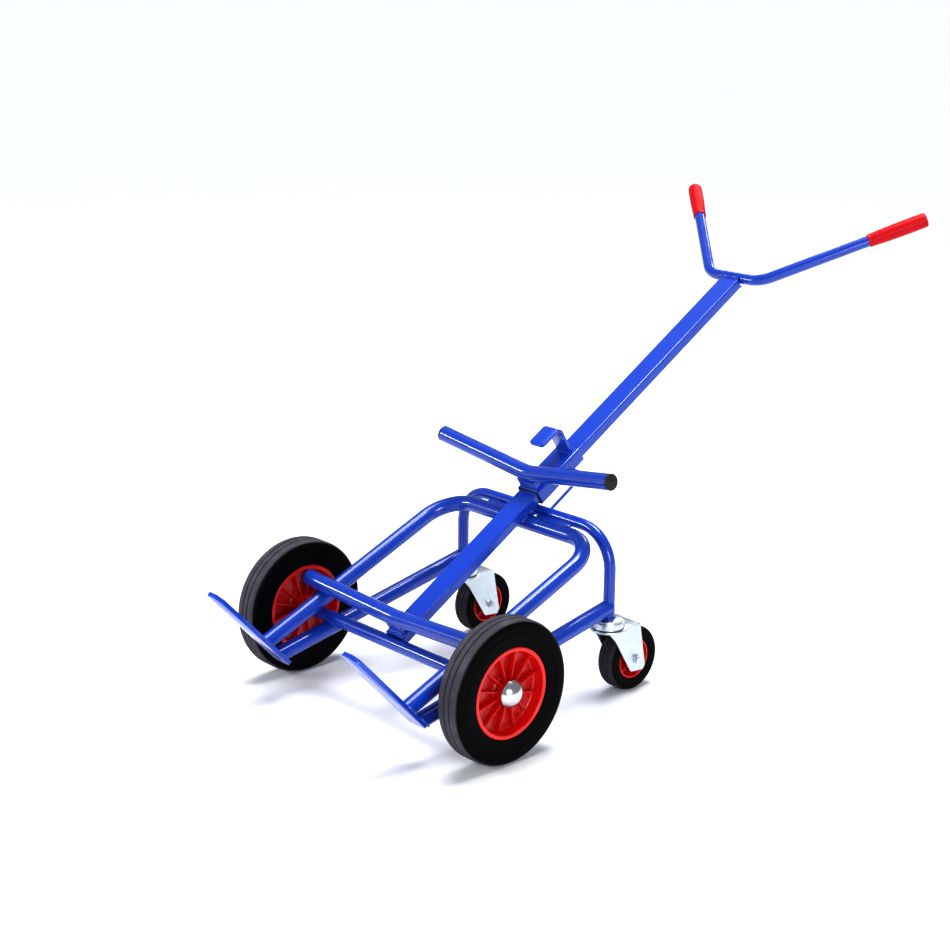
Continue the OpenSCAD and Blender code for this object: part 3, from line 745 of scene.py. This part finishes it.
def tyre_outline(radius, half, bead, tread, deep, ridge):
    """Half a tyre's section from its bead to the middle of its tread, then mirrored."""
    shoulder = half - tread
    side = [(bead - 0.002, half - 0.0075), (bead, half - 0.0012), (bead + 0.004, half - 0.0003)]
    if ridge:
        side += [(ridge - 0.0022, half), (ridge - 0.0012, half + 0.0010),
                 (ridge + 0.0012, half + 0.0010), (ridge + 0.0022, half)]
    side += arc((radius - shoulder, tread), shoulder, 90, 8, 12)
    groove = [tread * 0.54, tread * 0.34]
    side += [(radius, tread - 0.0005), (radius, groove[0] + 0.0004), (radius - 0.0006, groove[0]),
             (radius - deep, groove[0] - 0.0004), (radius - deep, groove[1] + 0.0004),
             (radius - 0.0006, groove[1]), (radius, groove[1] - 0.0004)]
    return side + [(r, -z) for r, z in reversed(side)]


def rib(bm, place, inner, outer, low, high_in, high_out, thick):
    """One thin radial rib, standing on the web."""
    before = set(bm.verts)
    made = bmesh.ops.create_cube(bm, size=1.0)["verts"]
    for v in made:
        out = v.co.x > 0
        top = v.co.z > 0
        taper = 0.72 if top else 1.15
        v.co = Vector((outer if out else inner, math.copysign(thick / 2 * taper, v.co.y),
                       (high_out if out else high_in) if top else low))
    mark = bm.verts.layers.float.get("edge")
    top_edges = [e for e in {e for v in made for e in v.link_edges}
                 if all(v.co.z > low + 1e-5 for v in e.verts)]
    rounded = bmesh.ops.bevel(bm, geom=top_edges, offset=0.0005, offset_type="OFFSET", segments=2,
                              profile=0.5, affect="EDGES", clamp_overlap=True, material=-1)
    for face in rounded["faces"]:
        for v in face.verts:
            v[mark] = 1.0
    bmesh.ops.transform(bm, matrix=place, verts=[v for v in bm.verts if v not in before])


class DOLLY_OT_large_wheels(Piece):
    """Build the large tyres, their ribbed rims and the domed hub caps"""
    bl_idname = "dolly.large_wheels"
    bl_label = "Large wheels"

    def build(self, sizes, colours):
        tyre = tyre_outline(WHEEL_R, 0.026, 0.0835, 0.0145, 0.003, 0.1065)
        face = [(0.0185, 0.0207), (0.0205, 0.0203), (0.0222, 0.0185), (0.0230, 0.0065)] \
            + arc((0.0275, 0.0065), 0.0045, 180, 270, 5) \
            + [(0.0680, 0.0022)] + arc((0.0685, 0.0062), 0.0040, 270, 350, 5) \
            + [(0.0744, 0.0195)] + arc((0.0770, 0.0207), 0.0026, 170, 95, 6) \
            + [(0.0800, 0.0233)] + arc((0.0806, 0.0212), 0.0020, 85, 0, 5) \
            + [(0.0832, 0.0178)]
        back = [(r, -z) for r, z in reversed(face[4:])]
        rim = [(0.0121, 0.0207)] + face + back + [(0.0226, -0.0330), (0.0216, -0.0339),
                                                  (0.0121, -0.0339)]
        dome = arc((0.0, 0.0150 - 0.0283), 0.0283, 90, 31, 18)
        cap = [(0.0, 0.0150)] + dome[1:] + [(0.0247, 0.0009), (0.0249, 0.0003), (0.0245, 0.0),
                                            (0.0232, 0.0003), (0.0228, 0.0012)] \
            + [(r * 0.94, z - 0.0014) for r, z in reversed(dome[1:-1])] + [(0.0, 0.0136)]
        for side in SIDES:
            place = wheel_frame(side, WHEEL_AT[side])
            body = "wheel_" + side
            bm = bmesh.new()
            spun(bm, tyre, 128, place)
            finished(bm, "solid_tyre_" + side, body, FINISH["tyre_" + side],
                     ["wheel_tyre_" + side], 40)
            bm = bmesh.new()
            bm.verts.layers.float.new("edge")
            spun(bm, rim, 96, place)
            for k in range(sizes.rib_count):
                for flip in (0, math.pi):
                    turn = place @ Matrix.Rotation(flip, 4, "X") \
                        @ Matrix.Rotation(FULL * (k + 0.5) / sizes.rib_count, 4, "Z")
                    rib(bm, turn, 0.0215, 0.0735, 0.0012, 0.0165, 0.0125, 0.0024)
            finished(bm, "ribbed_rim_" + side, body, FINISH["rim_" + side],
                     ["wheel_rim_" + side], 40)
            bm = bmesh.new()
            spun(bm, cap, 72, place @ Matrix.Translation((0, 0, 0.0235)))
            finished(bm, "dome_cap_" + side, "frame", FINISH["chrome"], ["hub_cap_" + side], 50)


class DOLLY_OT_castors(Piece):
    """Build the castors' heads, pressed forks, bolts, rims and tyres"""
    bl_idname = "dolly.castors"
    bl_label = "Castors"

    def build(self, sizes, colours):
        tyre = tyre_outline(CASTOR_R, 0.020, 0.0400, 0.0110, 0.0016, 0.0)
        face = [(0.0118, 0.0197), (0.0128, 0.0187), (0.0134, 0.0050), (0.0150, 0.0026),
                (0.0325, 0.0026), (0.0345, 0.0045), (0.0352, 0.0135)] \
            + arc((0.0373, 0.0153), 0.0022, 180, 60, 6) + [(0.0398, 0.0148), (0.0401, 0.0120)]
        rim = [(0.0071, 0.0197)] + face + [(r, -z) for r, z in reversed(face)] + [(0.0071, -0.0197)]
        for side in SIDES:
            place = wheel_frame(side, CASTOR_AT[side])
            wheel, swivel = "castor_wheel_" + side, "castor_swivel_" + side
            bm = bmesh.new()
            spun(bm, tyre, 96, place)
            finished(bm, "castor_solid_tyre_" + side, wheel, FINISH["castor_tyre_" + side],
                     ["castor_tyre_" + side], 40)
            bm = bmesh.new()
            bm.verts.layers.float.new("edge")
            spun(bm, rim, 72, place)
            for k in range(8):
                for flip in (0, math.pi):
                    turn = place @ Matrix.Rotation(flip, 4, "X") \
                        @ Matrix.Rotation(FULL * k / 8, 4, "Z")
                    rib(bm, turn, 0.0125, 0.0352, 0.0016, 0.0155, 0.0115, 0.0019)
            finished(bm, "castor_ribbed_rim_" + side, wheel, FINISH["castor_rim_" + side],
                     ["castor_rim_" + side], 40)
            for node, body, width in (("castor_fork_", swivel, 0.0008),
                                      ("castor_bolt_", swivel, 0.0004),
                                      ("castor_nut_", swivel, 0.0004),
                                      ("castor_head_", "frame", 0.0006)):
                finished(softened(node + side, width), "soft_" + node + side, body,
                         FINISH["zinc"], [node + side])


# ---- welds ----

def weld(bm, points, radius, closed=False):
    """A rippled weld bead along a path."""
    pitch = 0.0034
    dense = []
    for a, b in zip(points, points[1:] + points[:1] if closed else points[1:]):
        parts = max(1, round((b - a).length / (pitch / 4)))
        dense += [a.lerp(b, k / parts) for k in range(parts)]
    if not closed:
        dense.append(points[-1])
    scales = [0.82 + 0.18 * abs(math.cos(math.pi * k / 4)) for k in range(len(dense))]
    if not closed:
        scales[0] = scales[-1] = 0.35
    swept(bm, frames_through(dense, closed), radius, sides=8, scales=scales, closed=closed)


def ring_on_plane(centre, along, radius, point, normal, parts=36):
    """Where a tube meets a plane."""
    u = along.orthogonal().normalized()
    v = along.cross(u).normalized()
    ring = []
    for k in range(parts):
        a = FULL * k / parts
        p = centre + radius * (u * math.cos(a) + v * math.sin(a))
        ring.append(p + along * ((point - p).dot(normal) / along.dot(normal)))
    return ring


def ring_on_tube(centre, along, radius, other, other_along, other_radius, parts=36):
    """Where a tube that ends on another tube meets it, on the side it comes from."""
    u = along.orthogonal().normalized()
    v = along.cross(u).normalized()
    ring = []
    for k in range(parts):
        a = FULL * k / parts
        p = centre + radius * (u * math.cos(a) + v * math.sin(a)) - other
        d = along - other_along * along.dot(other_along)
        q = p - other_along * p.dot(other_along)
        b, c = q.dot(d), q.dot(q) - other_radius ** 2
        root = math.sqrt(max(0.0, b * b - d.dot(d) * c))
        ring.append(other + p + along * ((-b - root) / d.dot(d)))
    return ring


class DOLLY_OT_welds(Piece):
    """Lay the weld beads where the frame's and the carriage's pieces meet"""
    bl_idname = "dolly.welds"
    bl_label = "Weld beads"

    def build(self, sizes, colours):
        bm = bmesh.new()
        up, across = Vector((0, 0, 1)), Vector((1, 0, 0))
        bed, low, mast = bed_frame(sizes), low_frame(sizes), mast_frame()
        bed_way, low_way = bed.to_3x3().col[1], low.to_3x3().col[1]
        for side, sign in SIDES.items():
            point, normal = toe_face(sizes, side)
            weld(bm, ring_on_plane(bed @ Vector((sign * sizes.bed_x, 0, 0)), bed_way,
                                   sizes.bed_d / 2 + 0.0006, point, normal), 0.0022, True)
            weld(bm, ring_on_plane(low @ Vector((sign * LEG_X, 0, 0)), low_way,
                                   sizes.low_d / 2 + 0.0006, point, normal), 0.0022, True)
            leg = Vector((sign * LEG_X, LEG_Y, 0))
            weld(bm, ring_on_tube(low @ Vector((sign * LEG_X, 0.2, 0)), low_way,
                                  sizes.low_d / 2 - 0.0035, leg, up, sizes.arch_d / 2), 0.002, True)
            foot = leg + up * sizes.leg_foot
            weld(bm, ring_on_plane(foot, up, sizes.arch_d / 2 + 0.0006, foot, up), 0.0018, True)
            # along the strips between the crossbars
            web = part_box("crossbar_webs")
            for x0, x1 in ((0.028, 0.052), (0.084, 0.108)):
                for y, z in ((web[0].y + 0.001, web[0].z + 0.0065), (web[1].y - 0.001, web[1].z)):
                    weld(bm, [Vector((sign * x0, y, z)), Vector((sign * x1, y, z))], 0.0022)
            # mast to spacer block, bed crossbar and axle tube
            x = sign * 0.0235
            weld(bm, [mast @ Vector((x * 0.8, 0.402, -0.0212)),
                      mast @ Vector((x * 0.8, 0.431, -0.0212))], 0.0024)
            weld(bm, [mast @ Vector((x, 0.377, -0.0207)), mast @ Vector((x, 0.395, -0.0207))],
                 0.0026)
            end = MAST_FOOT + 0.0005
            weld(bm, [mast @ Vector((x * 0.92, end, -0.010)), mast @ Vector((x * 0.92, end, -0.018)),
                      mast @ Vector((x * 0.86, end, -0.0212))], 0.0022)
            # cradle's foot pad
            weld(bm, [mast @ Vector((sign * 0.0203, 0.052, 0.0008)),
                      mast @ Vector((sign * 0.0203, 0.073, 0.0008))], 0.0022)
        weld(bm, [mast @ Vector((-0.018, 0.0495, 0.0010)), mast @ Vector((0.018, 0.0495, 0.0010))],
             0.0024)
        weld(bm, [mast @ Vector((-0.021, sizes.mast_top, 0.0003)),
                  mast @ Vector((0.021, sizes.mast_top, 0.0003))], 0.0024)
        weld(bm, [mast @ Vector((-0.021, sizes.mast_top, -0.0213)),
                  mast @ Vector((0.021, sizes.mast_top, -0.0213))], 0.0022)
        finished(bm, "frame_welds", "frame", FINISH["weld"])
        bm = bmesh.new()
        top = SLEEVE_TOP
        for m in (HOOK_FOOT - 0.0005, HOOK_FOOT + 0.0065):
            weld(bm, [mast @ Vector((-0.0175, m, top)), mast @ Vector((0.0175, m, top))], 0.0027)
        # saddle to sleeve and to the cradle above it
        for m in (UPPER_CRADLE - 0.0135, UPPER_CRADLE + 0.0135):
            weld(bm, [mast @ Vector((-0.0205, m, top)), mast @ Vector((0.0205, m, top))], 0.0022)
            weld(bm, [mast @ Vector((-0.020, m, 0.0205)), mast @ Vector((0.0, m, 0.0195)),
                      mast @ Vector((0.020, m, 0.0205))], 0.0022)
        finished(bm, "carriage_welds", "carriage", FINISH["weld"])


# ---- stage ----

class DOLLY_OT_stage(Piece):
    """Set the floor, the soft studio lights and the camera"""
    bl_idname = "dolly.stage"
    bl_label = "Stage"

    def build(self, sizes, colours):
        bm = bmesh.new()
        bmesh.ops.create_grid(bm, x_segments=2, y_segments=2, size=600.0)
        mesh = bpy.data.meshes.new("floor")
        bm.to_mesh(mesh)
        bm.free()
        floor = bpy.data.objects.new("floor", mesh)
        mesh.materials.append(studio_floor(colours))
        bpy.context.scene.collection.objects.link(floor)
        self.lights()
        self.camera()

    def lights(self):
        scene = bpy.context.scene
        world = bpy.data.worlds.new("studio")
        world.use_nodes = True
        tree = world.node_tree
        backdrop = tree.nodes["Background"]
        backdrop.inputs["Color"].default_value = (0.96, 0.98, 1.0, 1)
        # soft fill for the truck, and as white as the floor where it is seen itself
        glow = tree.nodes.new("ShaderNodeMath")
        glow.operation = "MULTIPLY_ADD"
        glow.inputs[1].default_value, glow.inputs[2].default_value = 0.6, 0.40
        tree.links.new(tree.nodes.new("ShaderNodeLightPath").outputs["Is Camera Ray"], glow.inputs[0])
        tree.links.new(glow.outputs[0], backdrop.inputs["Strength"])
        scene.world = world
        scene.view_settings.view_transform = "Standard"
        scene.view_settings.gamma = 0.75
        self.lamp("dome", "SUN", (-0.6, 0.5, 4.0), 2.42, angle=math.radians(35))
        self.lamp("overhead", "AREA", (0.3, 0.5, 3.0), 39, shape="RECTANGLE", size=1.1, size_y=0.9)
        self.lamp("window", "AREA", (-1.72, -2.52, 1.25), 38, shape="RECTANGLE", size=1.05,
                  size_y=0.32)
        self.lamp("front", "AREA", (3.2, -1.7, 1.3), 68, shape="RECTANGLE", size=1.6, size_y=1.4)
        self.lamp("rim", "AREA", (-1.6, 3.0, 2.2), 22, shape="RECTANGLE", size=1.8, size_y=0.4)

    def lamp(self, name, kind, place, power, **settings):
        light = bpy.data.lights.new(name, kind)
        light.energy = power
        for key, value in settings.items():
            setattr(light, key, value)
        holder = bpy.data.objects.new(name, light)
        holder.location = place
        to_truck = Vector((0, 0, 0.35)) - Vector(place)
        holder.rotation_euler = to_truck.to_track_quat("-Z", "Y").to_euler()
        bpy.context.scene.collection.objects.link(holder)

    def camera(self):
        around, above, tip = math.radians(47.5), math.radians(16.05), math.radians(0.46)
        back = Vector((math.sin(around) * math.cos(above), -math.cos(around) * math.cos(above),
                       math.sin(above)))
        right = Vector((math.cos(around), math.sin(around), 0))
        up = back.cross(right)
        data = bpy.data.cameras.new("camera")
        data.sensor_width, data.lens = 36.0, 70.24
        data.clip_end = 2000.0
        camera = bpy.data.objects.new("camera", data)
        camera.matrix_world = turned(right * math.cos(tip) + up * math.sin(tip),
                                     up * math.cos(tip) - right * math.sin(tip), back,
                                     Vector((2.4217, AXLE_AT.y - 2.0247, 1.3584)))
        bpy.context.scene.collection.objects.link(camera)
        bpy.context.scene.camera = camera


class DOLLY_PT_panel(bpy.types.Panel):
    """The truck's pieces, in building order"""
    bl_idname = "DOLLY_PT_panel"
    bl_label = "Drum dolly"
    bl_space_type = "VIEW_3D"
    bl_region_type = "UI"
    bl_category = "Drum dolly"

    def draw(self, context):
        for group in (context.scene.dolly_sizes, context.scene.dolly_colours):
            column = self.layout.column(align=True)
            for name in group.__annotations__:
                column.prop(group, name)
        for operator in OPERATORS:
            self.layout.operator(operator.bl_idname)


OPERATORS = (DOLLY_OT_finishes, DOLLY_OT_bed, DOLLY_OT_arch, DOLLY_OT_lower_tubes,
             DOLLY_OT_plates, DOLLY_OT_cradles, DOLLY_OT_handle, DOLLY_OT_large_wheels,
             DOLLY_OT_castors, DOLLY_OT_welds, DOLLY_OT_stage)
CLASSES = (DollySizes, DollyColours, *OPERATORS, DOLLY_PT_panel)


def register():
    for cls in CLASSES:
        bpy.utils.register_class(cls)
    bpy.types.Scene.dolly_sizes = PointerProperty(type=DollySizes)
    bpy.types.Scene.dolly_colours = PointerProperty(type=DollyColours)


def unregister():
    del bpy.types.Scene.dolly_sizes
    del bpy.types.Scene.dolly_colours
    for cls in reversed(CLASSES):
        bpy.utils.unregister_class(cls)


def main():
    register()
    for operator in OPERATORS:
        getattr(bpy.ops.dolly, operator.bl_idname.split(".")[1])()


if __name__ == "__main__":
    main()
